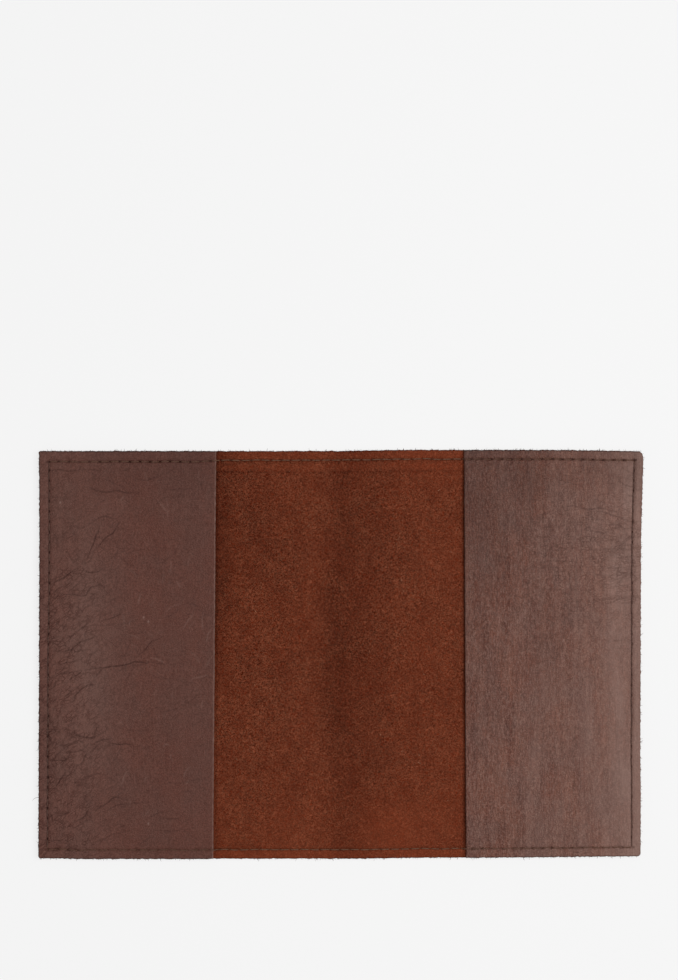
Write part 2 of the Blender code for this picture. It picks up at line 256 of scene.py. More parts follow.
# Creases of the front flap, where the leather was bent in use: how deep each is, in tenths, then the x and y
# of points along it.
CREASES = (
    (6, -99, 61, -92, 61.3, -84, 61),
    (5, -79, 58.5, -77, 57.7, -74, 56, -71.5, 55.3),
    (8, -85, 55.8, -81, 54.3, -75, 54, -69.6, 53.8, -65.5, 52.9),
    (4, -65, 58, -60, 59),
    (4, -60, 55, -50, 55),
    (4, -60, 52, -52, 52),
    (7, -84, 43.4, -81, 45, -78.8, 45.7, -73, 45.1),
    (6, -79, 46, -79.2, 44.4, -78.8, 43),
    (10, -73, 44.5, -75.5, 40.5, -78.8, 38.4, -80.1, 36.6, -80.9, 34.8),
    (10, -80.3, 43.6, -80.9, 39.9, -82.9, 34.8, -84.7, 30.3),
    (6, -96.2, 41.4, -94.4, 38.8, -94, 36.6, -92.9, 34.4),
    (6, -91.8, 34.8, -89.9, 32.2, -88.3, 29.6),
    (5, -86.6, 32.5, -88.4, 31.4),
    (9, -95, 24.2, -92, 25.9, -88.8, 27.7, -86.2, 29),
    (9, -86.2, 29, -84, 27.7, -81, 27.4, -77.4, 29.2),
    (8, -95.5, 20.5, -92.9, 22.2, -91.2, 23.3),
    (5, -89.2, 21.5, -86.2, 25.1),
    (9, -95, 18.6, -92, 19.7, -84.4, 19.9, -82.9, 22.2, -79.9, 23.5, -77, 22.4),
    (5, -90.7, 42.5, -84.4, 42.5),
    (6, -87.2, 13.1, -84, 15.6, -82.6, 16.7),
    (5, -82.6, 10.3, -81.2, 12.4),
    (8, -79.8, 11, -76.6, 11.6, -73, 13.5, -71.3, 13.1),
    (7, -90.4, 5.4, -87.9, 6.8, -85.1, 9.6, -81, 9.7, -75.5, 9.8),
    (6, -97, 3.9, -95, 5.5, -93, 6.5),
    (8, -96.8, 1.6, -92.1, 0.8, -89.3, 1.8, -86.5, 4.1, -79.8, 6.7),
    (6, -91.8, 7.8, -90.6, 10.7),
    (7, -80.1, 2, -82.6, -0.3, -84.7, -4.2),
    (7, -94.3, -4.2, -91.8, -3.3, -87.9, -2.1),
    (8, -99.5, -8, -94, -7.3, -92.5, -6.3, -84.7, -5.1),
    (12, -86, -5.3, -79.8, -4.4, -70.2, -3.3, -68, -2.4, -62, -2.5),
    (5, -64, -2.4, -57.4, -3.1),
    (6, -79, -4.4, -81.3, -7.4),
    (6, -70.2, -3.3, -74.1, -6),
    (8, -58.2, 6.4, -62.4, 4.6, -63.8, 2.2, -68.1, -1),
    (6, -74.8, -1.4, -72.7, -0.5, -69.8, -0.2),
    (8, -96.9, -11.3, -95, -10.4, -94.4, -8.8),
    (10, -90.7, -9.3, -89.7, -8.1, -86.8, -6.7, -85.1, -5.1),
    (8, -92, -14.5, -87.9, -10.9),
    (10, -89.7, -16.4, -88.3, -15.5, -87.9, -13.8, -84, -10, -80.8, -9.9),
    (9, -88.7, -24.2, -88.3, -26.7, -84.7, -27.4, -81.5, -27.6, -81.1, -23.1),
    (10, -81.5, -29.1, -76, -28.3),
    (10, -76.8, -29.2, -73, -29.8, -68.1, -29.8),
    (9, -80.4, -29.8, -82.2, -31.9),
    (8, -83.3, -29.8, -85.4, -31.6, -89.4, -32.3, -92.1, -32.3),
    (7, -85.4, -31.6, -84, -32.8, -86, -36.5, -88, -37.6),
    (9, -89.8, -32.5, -91.6, -35, -97.7, -35.1),
    (10, -91.6, -37.9, -91.4, -39.7, -95.2, -44.8),
    (6, -99.9, -45, -95.2, -44.8),
    (6, -90.5, -47, -90.2, -52.7, -94.9, -53.5),
    (8, -88.7, -55.3, -84.4, -53.6, -82.9, -50.6),
    (9, -81.5, -52, -79.3, -50.4, -75, -47.7, -70.3, -47.9),
    (6, -78.6, -52, -72.4, -49.5, -65.6, -49.1, -63.4, -48.9),
    (4, -77.5, -44.4, -75, -43.3),
    (4, -64.8, -45, -60, -44.8),
    (7, -73.5, -57.3, -71, -56.7),
    (5, -60, -54, -52, -54.3),
    (6, -98.8, -61.1, -91.2, -61.4, -88.3, -62.1),
    (8, -97.4, -26, -95.6, -29.2, -97, -31),
    (6, -98.8, -25.6, -92.3, -25.6),
    (6, -84, 61, -81.8, 61.2, -80, 60.6),
    (5, -69, 58.3, -65, 57.6, -62, 58.6, -60, 59.3),
    (5, -66.8, 47.1, -64.8, 48.3),
    (4, -53.5, 44.6, -50, 45.3, -45, 45.2),
    (4, -57, -40.1, -51.5, -39.8),
    (4, -59.5, -43.2, -56, -42.9, -50, -41.8, -44, -41.1),
    (4, -60, -57.6, -57, -58.6, -54, -58.4, -51, -57.2),
    (5, -88.5, -57.3, -86, -56, -83.5, -54.8),
    (5, -84, -63.3, -80.5, -62.2, -76, -59.5, -68, -57.8),
    (4, -66.5, -62.4, -60.5, -60),
)
BACK_CREASES = (
    (9, 99.8, 44.2, 97, 44.6, 93, 45, 90, 46.3, 87, 47.4, 84, 47.8),
    (8, 95, 46.2, 90, 47.6, 86, 48.6, 81, 48.3, 77, 49.2, 74, 49.2),
    (8, 99.6, 41.4, 96.5, 42.2, 94, 41.6, 91.5, 42.9, 88, 43.2),
    (7, 99.8, 39, 96, 39.6, 94.8, 38.5, 93.8, 36.9),
    (7, 93.8, 38.7, 90.6, 38.9, 88, 39.9, 84, 41.3, 80, 41.5),
    (7, 96, 35.2, 92.5, 36.3, 90, 35.1, 85, 35, 81, 34.7),
    (6, 97.5, 28.4, 92, 28.7, 87, 28.3),
    (6, 99, 26.8, 92, 26.4, 85, 26.6),
    (5, 81, 30.8, 74, 31, 66, 30.7),
    (4, 71, 54.3, 64, 54.4),
)
CREASE_WIDTH = 0.2


def crease_depth(x, y, path, width):
    """1 on the crease's line, tapering at its ends and falling off to its sides."""
    best = np.zeros_like(x)
    lengths = [math.dist(a, b) for a, b in zip(path, path[1:])]
    whole, passed = sum(lengths), 0
    for (x0, y0), (x1, y1), length in zip(path, path[1:], lengths):
        t = np.clip(((x - x0) * (x1 - x0) + (y - y0) * (y1 - y0)) / length**2, 0, 1)
        d = np.hypot(x - x0 - t * (x1 - x0), y - y0 - t * (y1 - y0))
        share = (passed + t * length) / whole
        taper = np.sqrt(np.clip(np.sin(np.pi * np.clip(share, 0.02, 0.98)), 0, 1))
        best = np.maximum(best, bell(d, width) * taper)
        passed += length
    return best


def add_crease(total, x, y, path, strength):
    """Adds a crease to total, working only on the part of the grid that it can reach."""
    reach = 2
    low, high = np.min(path, axis=0) - reach, np.max(path, axis=0) + reach
    i = np.where((x[:, 0] > low[0]) & (x[:, 0] < high[0]))[0]
    j = np.where((y[0] > low[1]) & (y[0] < high[1]))[0]
    if len(i) and len(j):
        part = np.ix_(i, j)
        depth = strength * crease_depth(*wandered(x[part], y[part]), path, CREASE_WIDTH)
        total[part] = np.maximum(total[part], depth)


def add_traced(total, x, y, creases):
    for tenths, *numbers in creases:
        add_crease(total, x, y, list(zip(numbers[::2], numbers[1::2])), tenths / 10)


def wandered(x, y):
    """Places shifted a little by noise, so that straight runs between points turn into natural lines."""
    to_x = 0.5 * noise(x / 4.5, y / 4.5, 41) + 0.16 * noise(x / 1.5, y / 1.5, 42)
    to_y = 0.5 * noise(x / 4.5, y / 4.5, 43) + 0.16 * noise(x / 1.5, y / 1.5, 44)
    return x + to_x, y + to_y


def add_random(total, x, y, rng, start, degrees, length, strength, share=1):
    """Adds a crease that wanders on from start, with a random strength."""
    (at_x, at_y), heading = start, math.radians(degrees)
    steps = max(3, int(length / 2))
    points = [start]
    for _ in range(steps):
        heading += rng.normal(0, 0.32)
        at_x += math.cos(heading) * length / steps
        at_y += math.sin(heading) * length / steps
        points.append((at_x, at_y))
    add_crease(total, x, y, points, rng.uniform(*strength) * share)


def front_creases(x, y):
    """Crease depth over the front flap, 0 to about 1."""
    total = np.zeros_like(x)
    add_traced(total, x, y, CREASES)
    rng = np.random.default_rng(7)
    for _ in range(150):
        start = -SEAM_X + 0.3 + 18 * rng.random() ** 1.6, rng.uniform(-62, 40)
        slope = rng.choice((50, 100, -20), p=(0.6, 0.25, 0.15)) + rng.normal(0, 16)
        share = 0.5 if start[1] > 26 else 1
        add_random(total, x, y, rng, start, slope, rng.uniform(2.5, 8), (0.1, 0.45), share)
    for _ in range(90):
        start = rng.uniform(-84, -46), rng.uniform(-60, 62)
        add_random(total, x, y, rng, start, rng.normal(4, 22), rng.uniform(2, 8), (0.15, 0.5))
    for _ in range(90):
        start = rng.uniform(-96, -72), rng.uniform(-62, 62)
        slope = rng.normal(32 if start[1] < 30 else -6, 12)
        add_random(total, x, y, rng, start, slope, rng.uniform(6, 16), (0.12, 0.4))
    return total


def front_scuffs(x, y):
    """Pale hairlines scuffed into the front flap, mostly up and down, near its free edge."""
    total = np.zeros_like(x)
    rng = np.random.default_rng(23)
    for _ in range(46):
        start = -44 - 30 * rng.random() ** 1.3, rng.uniform(-60, 58)
        add_random(total, x, y, rng, start, rng.normal(90, 22), rng.uniform(1.5, 7), (0.15, 0.55))
    return total


def back_creases(x, y):
    """Fine sideways creases in the upper outer part of the back flap, and a few near its free edge."""
    total = np.zeros_like(x)
    add_traced(total, x, y, BACK_CREASES)
    rng = np.random.default_rng(17)
    for _ in range(120):
        start = 98 - 38 * rng.random() ** 1.2, rng.uniform(-8, 62)
        add_random(total, x, y, rng, start, 180 + rng.normal(0, 10), rng.uniform(3, 9), (0.08, 0.32))
    for _ in range(70):
        start = 98.8 - 9 * rng.random() ** 2, 36 + rng.normal(0, 11)
        fan = 0.9 * (start[1] - 38)
        slope = 180 - fan + rng.normal(0, 7)
        add_random(total, x, y, rng, start, slope, rng.uniform(4, 15), (0.2, 0.65))
    return total


def flap_relief(side, x, y, creases):
    free = x * SIDES[side] - FLAP_EDGE  # distance from the free edge
    shoulder = -0.8 * np.clip(SHOULDER - free, 0, SHOULDER) ** 2 / SHOULDER
    relief = seam_relief(x, y, 0.24) + edge_relief(x, y, 0.28) + shoulder
    if side == "front":
        swell = 0.08 * fractal(x / 9, y / 9, 61, 3)
        relief += swell - 0.17 * creases
    else:
        waves = 0.085 * noise(x / 3.4, y / 45, 62) + 0.05 * noise(x / 1.5, y / 16, 63)
        relief += waves * smooth((free - 1) / 10) - 0.09 * creases
    return relief + 0.015 * noise(x / 0.8, y / 0.8, 64)


# The empty pocket's flap stands a little off the cover. A coarse sheet, sewn on three sides and slightly too
# large for them, settles by cloth simulation at ten times its size, where the solver is steady.

CLOTH_SCALE = 10
CLOTH_FRAMES = 26
CLOTH_SETTINGS = {
    "quality": 6, "mass": 0.4, "tension_stiffness": 30, "compression_stiffness": 30, "shear_stiffness": 10,
    "bending_stiffness": 4, "vertex_group_mass": "sewn", "shrink_min": -0.003,
}
MOST_LIFT = 0.5
KNOTS_X = np.linspace(FLAP_EDGE, SEAM_X, 29)
KNOTS_Y = np.linspace(-SEAM_Y, SEAM_Y, 65)


def plain_lift(side, x, y):
    """The lift by formula: nothing along the seams, most in the middle of the free edge."""
    along = np.clip((SEAM_X - x) / (SEAM_X - FLAP_EDGE), 0, 1)
    across = np.clip(1 - (y / SEAM_Y) ** 2, 0, 1)
    wave = 1 + 0.5 * noise(y / 21, 0, 71 + SIDES[side])
    return 0.36 * smooth(along) * np.sqrt(across) * wave


def settled_lift(side, x, y):
    """The lift from the simulation, on the coarse grid."""
    sewn = (x > SEAM_X - 0.1) | (abs(y) > SEAM_Y - 0.1)
    uneven = 0.1 * noise(x / 13, y / 13, 120 + SIDES[side])
    start = np.where(sewn, 0, 0.12 + plain_lift(side, x, y) + uneven)
    points = np.stack([x, y, start], -1).reshape(-1, 3)
    sheet = new_object("sheet", points * CLOTH_SCALE, quads(np.arange(x.size).reshape(x.shape)).tolist())
    held = sheet.vertex_groups.new(name="sewn")
    held.add(np.flatnonzero(sewn.ravel()).tolist(), 1, "REPLACE")
    height = run_cloth(sheet)[:, 2].reshape(x.shape) / CLOTH_SCALE
    height = np.clip(height, 0, None)
    return height * min(1, MOST_LIFT / height.max())


def run_cloth(sheet):
    """Where the sheet's points end up. The sheet itself is removed."""
    cloth = sheet.modifiers.new("cloth", "CLOTH").settings
    for key, value in CLOTH_SETTINGS.items():
        setattr(cloth, key, value)
    cloth.effector_weights.gravity = 0
    for step in range(1, CLOTH_FRAMES + 1):
        bpy.context.scene.frame_set(step)
    settled = places(sheet.evaluated_get(bpy.context.evaluated_depsgraph_get()).data)
    bpy.data.objects.remove(sheet)
    bpy.context.scene.frame_set(1)
    return settled


def places(mesh):
    """Where a mesh's points are, in millimetres."""
    flat = np.zeros(len(mesh.vertices) * 3, np.float32)
    mesh.vertices.foreach_get("co", flat)
    return flat.reshape(-1, 3) / MM


def knot_weights(at, knots):
    """Each row blends the knots' values into a smooth value at one place (a cubic B-spline)."""
    t = abs(at[:, None] - knots[None, :]) / (knots[1] - knots[0])
    near, far = 2 / 3 - t * t + t**3 / 2, np.clip(2 - t, 0, None) ** 3 / 6
    weights = np.where(t < 1, near, far)
    return weights / np.maximum(weights.sum(axis=1, keepdims=True), 1e-9)


def flap_lift(side, xs, ys):
    """How far the flap stands off the cover over the grid of xs and ys."""
    x, y = grid(KNOTS_X, KNOTS_Y)
    height = settled_lift(side, x, y)
    outward = xs * SIDES[side]
    inside = smooth((SEAM_X - 0.8 - outward) / 3)[:, None] * smooth((SEAM_Y - 0.8 - abs(ys)) / 3)[None, :]
    spread_x = knot_weights(np.clip(outward, FLAP_EDGE, SEAM_X), KNOTS_X)
    spread_y = knot_weights(np.clip(ys, -SEAM_Y, SEAM_Y), KNOTS_Y)
    return inside * (spread_x @ height @ spread_y.T)


# Meshes.


def lines(low, high, step, fine, fine_step=0.16, reach=1.0):
    """Grid positions from low to high, closer together near the positions in fine."""
    values = [low, high]
    at = low
    while at < high:
        near = min((abs(at - f) for f in fine), default=math.inf)
        at += fine_step if near < reach else min(step, max(fine_step, (near - reach) + fine_step))
        values.append(min(at, high))
    values = np.unique(np.round(values, 4))
    keep = np.append(np.diff(values) > 0.05, True)
    return values[keep]


def boundary(index):
    """Vertex numbers round a grid's edge, anticlockwise from above."""
    return np.concatenate([index[:-1, 0], index[-1, :-1], index[:0:-1, -1], index[0, :0:-1]])


def quads(index):
    """Faces of a grid of vertex numbers, facing up."""
    a, b, c, d = index[:-1, :-1], index[1:, :-1], index[1:, 1:], index[:-1, 1:]
    return np.stack([a, b, c, d], -1).reshape(-1, 4)


def placed(name, data):
    """A new object, in the scene."""
    made = bpy.data.objects.new(name, data)
    bpy.context.scene.collection.objects.link(made)
    return made


def new_object(name, points, faces, looks=(), look_of_face=None):
    """A smooth-shaded mesh from points in millimetres, which also keeps each point's place at rest."""
    mesh = bpy.data.meshes.new(name)
    mesh.from_pydata((points * MM).tolist(), [], faces)
    for look in looks:
        mesh.materials.append(look)
    if look_of_face is not None:
        mesh.polygons.foreach_set("material_index", look_of_face.astype(np.int32))
    mesh.shade_smooth()
    made = placed(name, mesh)
    rest = mesh.attributes.new("rest", "FLOAT_VECTOR", "POINT")
    rest.data.foreach_set("vector", points.astype(np.float32).ravel())
    return made


def add_value(obj, name, values):
    attribute = obj.data.attributes.new(name, "FLOAT", "POINT")
    attribute.data.foreach_set("value", values.astype(np.float32))


WALL_ROWS = 5


def leather_sheet(name, xs, ys, heights, place, raw, looks, values, under):
    """A closed sheet. heights(x, y) gives its top and bottom, place(x, y) its outline.

    looks are the materials of the top, the bottom and the cut edge. values(x, y) and under(x, y) are what
    those of the top and bottom read. raw(x, y) is 1 where the wall is a cut edge, 0 at the other half."""
    x, y = grid(xs, ys)
    top, bottom = (np.stack([*place(x, y), z], -1).reshape(-1, 3) for z in heights(x, y))
    index = np.arange(x.size).reshape(x.shape)
    ring = boundary(index)
    walls = wall_points(top[ring], bottom[ring], raw(x.ravel()[ring], y.ravel()[ring]))
    wall_index = 2 * x.size + np.arange(len(walls)).reshape(WALL_ROWS - 1, len(ring))
    rows = np.concatenate([ring[None, :], wall_index, ring[None, :] + x.size])
    below, above = rows[1:], rows[:-1]
    wall_faces = np.stack([below, np.roll(below, -1, 1), np.roll(above, -1, 1), above], -1).reshape(-1, 4)
    top_faces, bottom_faces = quads(index), quads(index + x.size)[:, ::-1]
    faces = np.concatenate([top_faces, bottom_faces, wall_faces])
    look = np.repeat([0, 1, 2], [len(top_faces), len(bottom_faces), len(wall_faces)])
    made = new_object(name, np.concatenate([top, bottom, walls]), faces.tolist(), looks, look)
    made.data.set_sharp_from_angle(angle=math.radians(55))
    at_bottom = under(x, y)
    for key, at_top in values(x, y).items():
        at_wall = np.tile(at_top.ravel()[ring], WALL_ROWS - 1)
        add_value(made, key, np.concatenate([at_top.ravel(), at_bottom[key].ravel(), at_wall]))
    return made


def wall_points(top, bottom, rough):
    """Rows of points down a cut edge, bulging and fibrous where rough is 1."""
    ahead = np.roll(top, -1, 0) - np.roll(top, 1, 0)
    length = np.hypot(ahead[:, 0], ahead[:, 1])
    step = top - np.roll(top, 1, 0)
    along = np.cumsum(np.hypot(step[:, 0], step[:, 1]))
    rows = []
    for k in range(1, WALL_ROWS):
        t = k / WALL_ROWS
        z = top[:, 2] * (1 - t) + bottom[:, 2] * t
        out = rough * (0.05 * math.sin(math.pi * t) + 0.07 * noise(along / 0.7, z / 0.35, 81))
        px, py = top[:, 0] + out * ahead[:, 1] / length, top[:, 1] - out * ahead[:, 0] / length
        rows.append(np.stack([px, py, z], -1))
    return np.concatenate(rows)


# Materials.


class Material:
    """A Principled material, and short ways to add nodes to it."""

    def __init__(self, name):
        self.material = bpy.data.materials.new(name)
        self.material.use_nodes = True
        self.tree = self.material.node_tree
        self.shader = self.tree.nodes["Principled BSDF"]

    def add(self, kind, output, *values, **settings):
        """Adds a node, and returns one of its outputs.

        values go to its first inputs, settings with a capital to the inputs of that name, and the other
        settings are its properties."""
        made = self.tree.nodes.new("ShaderNode" + kind)
        for key, value in settings.items():
            if key[0].islower():
                setattr(made, key, value)
        inputs = {s.name.replace(" ", "_"): s for s in reversed(made.inputs) if s.enabled}
        for key, value in settings.items():
            if key[0].isupper():
                self.put(inputs[key], value)
        for socket, value in zip(made.inputs, values):
            self.put(socket, value)
        return made.outputs[output]

    def put(self, socket, value):
        """Links an output to the socket, or sets it, from 0 to 255 where the value is a colour."""
        if isinstance(value, bpy.types.NodeSocket):
            self.tree.links.new(value, socket)
        else:
            is_colour = socket.type == "RGBA" and len(value) == 3
            socket.default_value = linear(*value) if is_colour else value

    def math(self, operation, a, b=0):
        return self.add("Math", 0, a, b, operation=operation)

    def rest(self, scale=(1, 1, 1), turn=0):
        """The point's place at rest in millimetres, turned about Z and scaled."""
        place = self.value("rest", "Vector")
        turned = self.add("VectorRotate", 0, rotation_type="Z_AXIS", Angle=turn, Vector=place)
        return self.add("VectorMath", 0, turned, scale, operation="MULTIPLY")

    def value(self, name, output="Fac"):
        return self.add("Attribute", output, attribute_name=name)

    def noise(self, scale, detail=2, rough=0.5, stretch=(1, 1, 1), **more):
        more.update(Scale=scale, Detail=detail, Roughness=rough, Vector=self.rest(stretch))
        return self.add("TexNoise", "Fac", **more)

    def cracks(self, size, stretch, turn, width):
        """1 on the lines between cells about size millimetres across, drawn out by stretch, else 0."""
        place = self.rest((1 / size, 1 / size / stretch, 1 / size), turn)
        drift = self.add("TexNoise", "Color", Scale=1.1, Detail=2, Vector=place)
        moved = self.mix(0.35, place, drift, "ADD")
        edge = {"feature": "DISTANCE_TO_EDGE", "Scale": 1, "Vector": moved}
        return self.spread(self.add("TexVoronoi", "Distance", **edge), 0, width, 1, 0)

    def curls(self, scale):
        """1 on thin curling lines, as of felted fibres, else 0."""
        off = self.math("ABSOLUTE", self.math("SUBTRACT", self.noise(scale, 1, Distortion=2.6), 0.5))
        return self.spread(off, 0, 0.075, 1, 0)

    def mix(self, share, a, b, kind="MIX"):
        made = self.tree.nodes.new("ShaderNodeMix")
        made.data_type, made.blend_type = "RGBA", kind
        for number, value in ((0, share), (6, a), (7, b)):  # the factor and the two colours
            self.put(made.inputs[number], value)
        return made.outputs[2]

    def spread(self, value, low, high, to_low=0, to_high=1):
        """Maps low..high to to_low..to_high, held at the ends."""
        return self.add("MapRange", "Result", value, low, high, to_low, to_high)

    def bump(self, height, strength, distance):
        return self.add("Bump", "Normal", Strength=strength, Distance=distance, Height=height)

    def finish(self, tone, rough, specular, **more):
        inputs = {"Base Color": tone, "Roughness": rough, "Specular IOR Level": specular, **more}
        for key, value in inputs.items():
            self.put(self.shader.inputs[key], value)
        return self.material


def linear(*colour):
    """The linear colour, fully opaque, of three usual values of 0 to 255."""
    parts = [c / 255 for c in colour]
    return *(c / 12.92 if c <= 0.04045 else ((c + 0.055) / 1.055) ** 2.4 for c in parts), 1


def suede_look():
    m = Material("suede")
    speck = m.noise(1.45, 3, 0.85)  # the ends of the fibres
    blotch = m.noise(0.06, 3, 0.6, (1, 0.8, 1))
    patch = m.noise(0.22, 2, 0.5, (1, 0.8, 1))
    curl = m.math("MAXIMUM", m.curls(0.6), m.curls(0.95))
    tone = m.mix(m.spread(speck, 0.4, 0.6), (50, 14, 3), (117, 46, 24))
    # The curling fibres painted paler: painted highlights where the light catches them.
    tone = m.mix(m.math("MULTIPLY", curl, 0.44), tone, (184, 114, 84))
    tone = m.mix(m.spread(blotch, 0.4, 0.6, 0, 0.18), tone, (124, 50, 26))
    tone = m.mix(m.spread(patch, 0.4, 0.6, 0, 0.18), tone, (68, 20, 11))
    # Paler where "pale" is set: margins, strips, and painted light towards the key light on the right.
    tone = m.mix(m.math("MULTIPLY", m.value("pale"), 0.45), tone, (146, 68, 42))
    tone = m.mix(m.value("shade"), tone, (120, 92, 90), "MULTIPLY")
    nap = m.math("ADD", speck, m.math("MULTIPLY", curl, 0.4))
    sheen = {"Sheen Weight": 0.06, "Sheen Roughness": 0.5, "Sheen Tint": (200, 100, 60)}
    return m.finish(tone, 0.95, 0.03, Normal=m.bump(nap, 0.9, 0.0004), **sheen)


def leather_look(name, low, high, streaks, gloss, crease_turn, cell=1):
    """Smooth leather between two browns. streaks is how strong the fine lines along Y are, gloss its shine.

    crease_turn turns the run of its fine creases, which show where "wrinkle" is above 0, to the Y axis, and
    cell scales the leather between them."""
    m = Material(name)
    cloud = m.noise(0.085, 3, 0.6, (1, 0.7, 1))
    band = m.noise(1, 3, 0.5, (0.42, 0.035, 1))
    streak = m.noise(1, 4, 0.7, (1.5, 0.13, 1))
    hair = m.noise(1, 2, 0.7, (2.3, 0.66, 1))
    pore = m.noise(2.2, 2, 0.75)
    broken = m.spread(m.noise(0.35, 2, 0.5), 0.36, 0.58)
    small, large = m.cracks(1.1 * cell, 2.2, crease_turn, 0.13), m.cracks(2.4 * cell, 2.6, crease_turn, 0.07)
    cells = m.math("MAXIMUM", small, large)
    creased = m.math("MULTIPLY", m.math("MULTIPLY", cells, broken), m.value("wrinkle"))
    tone = m.mix(m.spread(cloud, 0.4, 0.6), low, high)
    tone = m.mix(m.spread(band, 0.4, 0.6, 0, streaks), tone, (218, 196, 190), "MULTIPLY")
    tone = m.mix(m.spread(streak, 0.38, 0.62, 0, streaks), tone, (196, 186, 180), "MULTIPLY")
    tone = m.mix(m.spread(hair, 0.44, 0.64, 0, 0.66 * streaks), tone, (154, 120, 108))
    pores = m.spread(pore, 0.38, 0.6, 0.62 + 0.3 * streaks, 0)
    tone = m.mix(pores, tone, (184, 176, 170), "MULTIPLY")
    # Paler where "pale" is set: scuffs and dust, and the flaps' painted highlights and sheen.
    tone = m.mix(m.math("MULTIPLY", m.value("pale"), 0.6), tone, (147, 118, 108))
    # Painted shade in the fine creases, where "wrinkle" is above 0.
    tone = m.mix(creased, tone, (176, 154, 146), "MULTIPLY")
    tone = m.mix(m.value("shade"), tone, (112, 82, 72), "MULTIPLY")
    grain = m.math("ADD", pore, m.math("MULTIPLY", m.math("ADD", streak, hair), streaks))
    grain = m.math("SUBTRACT", grain, m.math("MULTIPLY", creased, 0.5))
    rough = m.spread(m.noise(0.9, 2, 0.5), 0.3, 0.7, 0.44, 0.62)
    return m.finish(tone, rough, gloss, Normal=m.bump(grain, 0.8, 0.0003))


def cut_edge_look():
    m = Material("cut_edge")
    fibre = m.noise(1, 3, 0.7, (2, 2, 5))
    tone = m.mix(m.spread(fibre, 0.35, 0.65), (44, 24, 17), (92, 58, 44))
    # Paler where the top's edge is pale, such as the painted highlight along the front flap's free edge.
    tone = m.mix(m.value("pale"), tone, (150, 118, 106))
    return m.finish(tone, 0.95, 0.2, Normal=m.bump(fibre, 0.8, 0.0003))


def thread_look():
    """Waxed thread: brown on the leather, painted paler as a highlight on the suede, where "pale" is 1."""
    m = Material("thread")
    fibre = m.noise(5, 2, 0.6)
    tone = m.mix(m.spread(fibre, 0.3, 0.7), (58, 36, 28), (98, 66, 54))
    # The thread's painted highlight: a paler, warmer brown where the light catches it.
    painted_highlight = m.mix(m.spread(fibre, 0.3, 0.7), (72, 42, 27), (122, 86, 62))
    tone = m.mix(m.value("pale"), tone, painted_highlight)
    return m.finish(tone, 0.6, 0.35, Normal=m.bump(fibre, 0.4, 0.0001))


def fibre_look(name, low, high):
    m = Material(name)
    tone = m.mix(m.spread(m.noise(0.8, 2, 0.6), 0.35, 0.65), low, high)
    return m.finish(tone, 0.8, 0.2)


SUEDE = suede_look()
FRONT_LEATHER = leather_look("front_flap_leather", (103, 63, 53), (100, 64, 55), 0.12, 0.14, 0.95)
# The back flap's leather is the front's made lighter and greyer: a painted sheen of the key light.
BACK_LEATHER = leather_look("back_flap_leather", (127, 81, 66), (120, 82, 71), 0.64, 0.2, 1.5, 0.7)
GRAIN = leather_look("cover_grain_leather", (98, 60, 50), (92, 62, 54), 0.25, 0.35, 0.6)
CUT_EDGE = cut_edge_look()
THREAD = thread_look()
EDGE_FIBRE = fibre_look("edge_fibre", (52, 30, 22), (96, 60, 44))
LINT = fibre_look("lint", (140, 90, 64), (184, 136, 106))


# The cover, in two halves that meet on the middle of the spine.


def cover_shade(x, y):
    """Painted shade on the suede in the fold band, seam, edges and fold line; paler above the fold line."""
    waver = 2 * noise(y / 26, 0, 91)
    # Painted shadow in the band where the spine was folded, and a darker patch on the upper left.
    band = 0.14 * bell(x - 1 + waver, 4.5) + 0.17 * bell(x - 7 + waver, 8)
    band += 0.24 * bell(x + 3 + waver, 4) * bell(y - 2, 34) + 0.17 * bell(x + 27, 8) * bell(y - 40, 17)
    # Painted shade in the seam's groove and stitch holes, fainter along the bottom row.
    seam = 0.45 * hole_closeness(x, y) + 0.2 * bell(seam_distance(x, y) - 0.22, 0.3)
    seam = seam * (1 - 0.4 * (y < 0))
    from_flap = FLAP_EDGE - abs(x)
    # Painted shade in the gap at each flap's free edge; darker suede beside the front flap, higher up.
    by_flap = 0.32 * bell(from_flap - 0.2, 0.55)
    by_flap += 0.34 * bell(from_flap, 6) * (x < 0) * smooth((y + 30) / 60)
    # Painted shade along the rounded cut edges.
    edge = 0.65 * bell(edge_distance(x, y), 0.3)
    above_fold = y - (HALF_HEIGHT - FOLD_LINE_INSET)
    pale = 0.6 * smooth((abs(y) - SEAM_Y) / 0.8) + 0.45 * bell(above_fold - 1.7, 1.3)
    # A paler band beside the fold band, and painted light growing towards the key light on the right.
    pale += 0.16 * bell(x + 9 + 1.5 * waver, 4.5) + 0.22 * smooth((x - 14) / 20)
    pale += 0.22 * smooth((-y - 10) / 50)
    pale += smooth((-y - 42) / 18) * (0.35 * bell(x + 18, 9) + 0.8 * bell(x - 15, 13))
    pale += 0.16 * smooth((y - 50) / 8) * smooth(x / 12)
    # The sum of the painted shade, with painted shade in the fold line below the top seam.
    shade = band + seam + by_flap + edge + 0.5 * crease_line(x, y)
    return surface_values(shade, pale, np.zeros_like(x))


def outer_shade(x, y):
    """The outer face: darker along the seam and at the edge, with fine creases where the spine bends."""
    # Painted shade in the seam's groove and stitch holes, and along the rounded edge.
    shade = 0.6 * hole_closeness(x, y) + 0.35 * bell(seam_distance(x, y), 0.25)
    shade += 0.5 * bell(edge_distance(x, y), 0.3)
    pale = 0.35 * bell(abs(x) - 4, 1.6) + 0.12 * (1 + noise(x / 14, y / 14, 75))
    wrinkle = 0.9 * smooth((12 - abs(x)) / 9) + 0.15
    return surface_values(shade, pale, wrinkle)


def surface_values(shade, pale, wrinkle):
    """What a sheet's materials read at each point: how darkened, how pale and how wrinkled it is."""
    return {"shade": np.clip(shade, 0, 0.9), "pale": np.clip(pale, 0, 1), "wrinkle": wrinkle}


